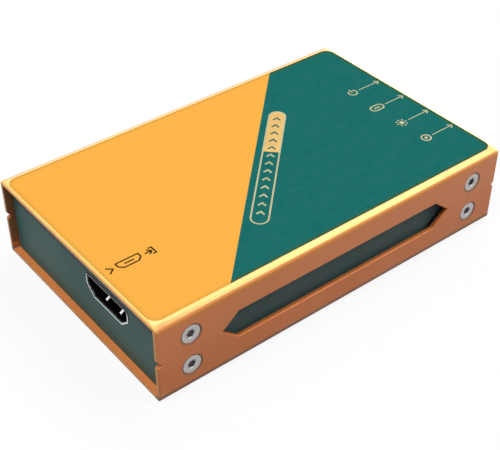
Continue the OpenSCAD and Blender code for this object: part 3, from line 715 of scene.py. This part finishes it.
def print_video_mark(look):
    """Front mark: an arrow head, the outline of the video socket, and an arrow into a bracket."""
    half_height = 0.95
    half_top, half_foot = 2.6, 1.7
    shoulder = -0.1
    half_tongue = 1.1
    outline = [
        (-half_top, half_height), (half_top, half_height), (half_top, shoulder),
        (half_foot, -half_height), (-half_foot, -half_height), (-half_top, shoulder),
    ]
    arrow_start, arrow_stop = -1.6, -0.2
    bracket_open, bracket_back = -0.3, 0.5
    bracket = [
        (bracket_open, half_height), (bracket_back, half_height),
        (bracket_back, -half_height), (bracket_open, -half_height),
    ]
    entry_reach, entry_height = 1.2, 1.9
    entry_x, socket_x, bracket_x = 1.3, 5, 10.2
    faces = shifted(chevron(entry_reach, entry_height, LINE_MM), entry_x)
    faces += shifted(loop(outline), socket_x)
    faces += shifted(line([(-half_tongue, 0), (half_tongue, 0)]), socket_x)
    faces += shifted(line([(arrow_start, 0), (arrow_stop, 0)]), bracket_x)
    faces += shifted(chevron(HEAD_REACH_MM, HEAD_HEIGHT_MM, LINE_MM), bracket_x)
    faces += shifted(line(bracket), bracket_x)
    print_mark("mark_video_socket", faces, VIDEO_MARK_MM, look)


def print_capsule(cream, pale, teal):
    """A capsule along the split, filled at its rear end, with a row of arrow heads from front to rear."""
    half = CAPSULE_LENGTH_MM / 2
    radius = CAPSULE_HEIGHT_MM / 2
    inner = radius - LINE_MM
    outline = loop(capsule(CAPSULE_LENGTH_MM - LINE_MM, CAPSULE_HEIGHT_MM - LINE_MM))
    start = CAPSULE_FILL_START_MM
    fill = [(start, inner), (start, -inner), *round_end(inner, half - radius, -90)]
    pitch = (CAPSULE_LENGTH_MM - 2 * radius) / CAPSULE_CHEVRONS
    tips = [radius - half + pitch * (i + CAPSULE_CHEVRON_TIP) for i in range(CAPSULE_CHEVRONS)]
    arrow = chevron(*CAPSULE_CHEVRON_MM)
    on_teal = [face for x in tips if x < start for face in shifted(arrow, x)]
    on_fill = [face for x in tips if x > start + CAPSULE_FILL_MARGIN_MM for face in shifted(arrow, x)]
    along = Vector((1, 1)).normalized() * CAPSULE_ALONG_MM
    across = Vector((1, -1)).normalized() * CAPSULE_ACROSS_MM
    for name, faces, look, layer in (
        ("capsule_outline", outline, cream, 0),
        ("capsule_fill", [fill], pale, 0),
        ("capsule_arrows_front", on_teal, cream, 0),
        ("capsule_arrows_rear", on_fill, teal, 1),
    ):
        print_mark(name, faces, along + across, look, CAPSULE_TURN, layer)


def print_marks():
    """Every printed mark on the top film."""
    cream = film_ink("cream_ink", plain_ink(PRINT_CREAM))
    pale = film_ink("pale_ink", plain_ink(PRINT_PALE))
    teal = film_ink("teal_ink", plain_ink(PRINT_TEAL))
    dark = film_ink("dark_ink", plain_ink(PRINT_DARK))
    print_rear_marks(cream)
    print_video_mark(dark)
    print_capsule(cream, pale, teal)


def place_camera():
    """Sets the camera where the photograph was taken from."""
    data = bpy.data.cameras.new("camera")
    data.lens = CAMERA_LENS
    data.sensor_width = SENSOR_WIDTH
    data.sensor_fit = "HORIZONTAL"
    data.clip_start = CAMERA_CLIP_START
    camera = bpy.data.objects.new("camera", data)
    turn = Matrix.Rotation(math.radians(CAMERA_AZIMUTH), 4, "Z")
    tilt = Matrix.Rotation(math.radians(90 - CAMERA_ELEVATION), 4, "X")
    roll = Matrix.Rotation(math.radians(CAMERA_ROLL), 4, "Z")
    camera.matrix_world = Matrix.Translation(Vector(CAMERA_PLACE_MM) * MM) @ turn @ tilt @ roll
    bpy.context.scene.collection.objects.link(camera)
    bpy.context.scene.camera = camera


def softbox(name, place, along, size, watts):
    """A rectangular studio lamp that faces the middle of the object, its first side along a direction."""
    data = bpy.data.lights.new(name, "AREA")
    data.shape = "RECTANGLE"
    data.size, data.size_y = size
    data.energy = watts
    lamp = bpy.data.objects.new(name, data)
    back = (Vector(place) - MIDDLE).normalized()
    side = (Vector(along) - back * back.dot(Vector(along))).normalized()
    turn = Matrix((side, back.cross(side), back)).transposed().to_4x4()
    lamp.matrix_world = Matrix.Translation(place) @ turn
    bpy.context.scene.collection.objects.link(lamp)


def seen_directly(tree):
    """A share that is 1 for rays from the camera, in reflections and through glass, and 0 for other light."""
    path = tree.nodes.new("ShaderNodeLightPath")
    seen = path.outputs["Is Camera Ray"]
    for kind in ("Is Glossy Ray", "Is Transmission Ray"):
        either = tree.nodes.new("ShaderNodeMath")
        either.operation = "MAXIMUM"
        tree.links.new(seen, either.inputs[0])
        tree.links.new(path.outputs[kind], either.inputs[1])
        seen = either.outputs[0]
    return seen


def pale_floor():
    """Pale paper under the object. Where it is seen, most of its white doesn't depend on the lamps."""
    look = Look("floor_paper", Roughness=0.9, Specular_IOR_Level=0.0, Emission_Color=WHITE_LIGHT)
    seen = seen_directly(look.tree)
    fibre = look.blend(look.vary(look.noise(scale=500, detail=3)), FLOOR_FIBRE, FLOOR_FIBRE_PALE)
    look.set("Base Color", look.blend(seen, FLOOR_BOUNCE, fibre))
    look.set("Emission Strength", look.ramp(seen, 0, 1, 0, FLOOR_GLOW))
    bpy.ops.mesh.primitive_plane_add(size=FLOOR_SIZE, location=(0, 0, CASE_LOW.z - FLOOR_GAP_MM * MM))
    floor = bpy.context.object
    floor.name = "floor"
    floor.data.materials.append(look.material)


def surround():
    """An even pale surround, dimmer for the light that it gives than where it is seen."""
    world = bpy.data.worlds.new("surround")
    world.use_nodes = True
    bpy.context.scene.world = world
    tree = world.node_tree
    background = tree.nodes["Background"]
    background.inputs["Color"].default_value = WHITE_LIGHT
    strength = tree.nodes.new("ShaderNodeMapRange")
    strength.inputs["To Min"].default_value = SURROUND_LIGHT
    strength.inputs["To Max"].default_value = SURROUND_SEEN
    tree.links.new(seen_directly(tree), strength.inputs["Value"])
    tree.links.new(strength.outputs["Result"], background.inputs["Strength"])


def studio():
    """A pale floor, an even surround and soft lamps."""
    pale_floor()
    surround()
    for lamp in LAMPS:
        softbox(*lamp)


def main():
    """Dresses the CAD model, prints its marks and sets the stage."""
    dress_nodes()
    print_marks()
    place_camera()
    studio()
    bpy.context.scene.view_settings.view_transform = "Standard"


main()
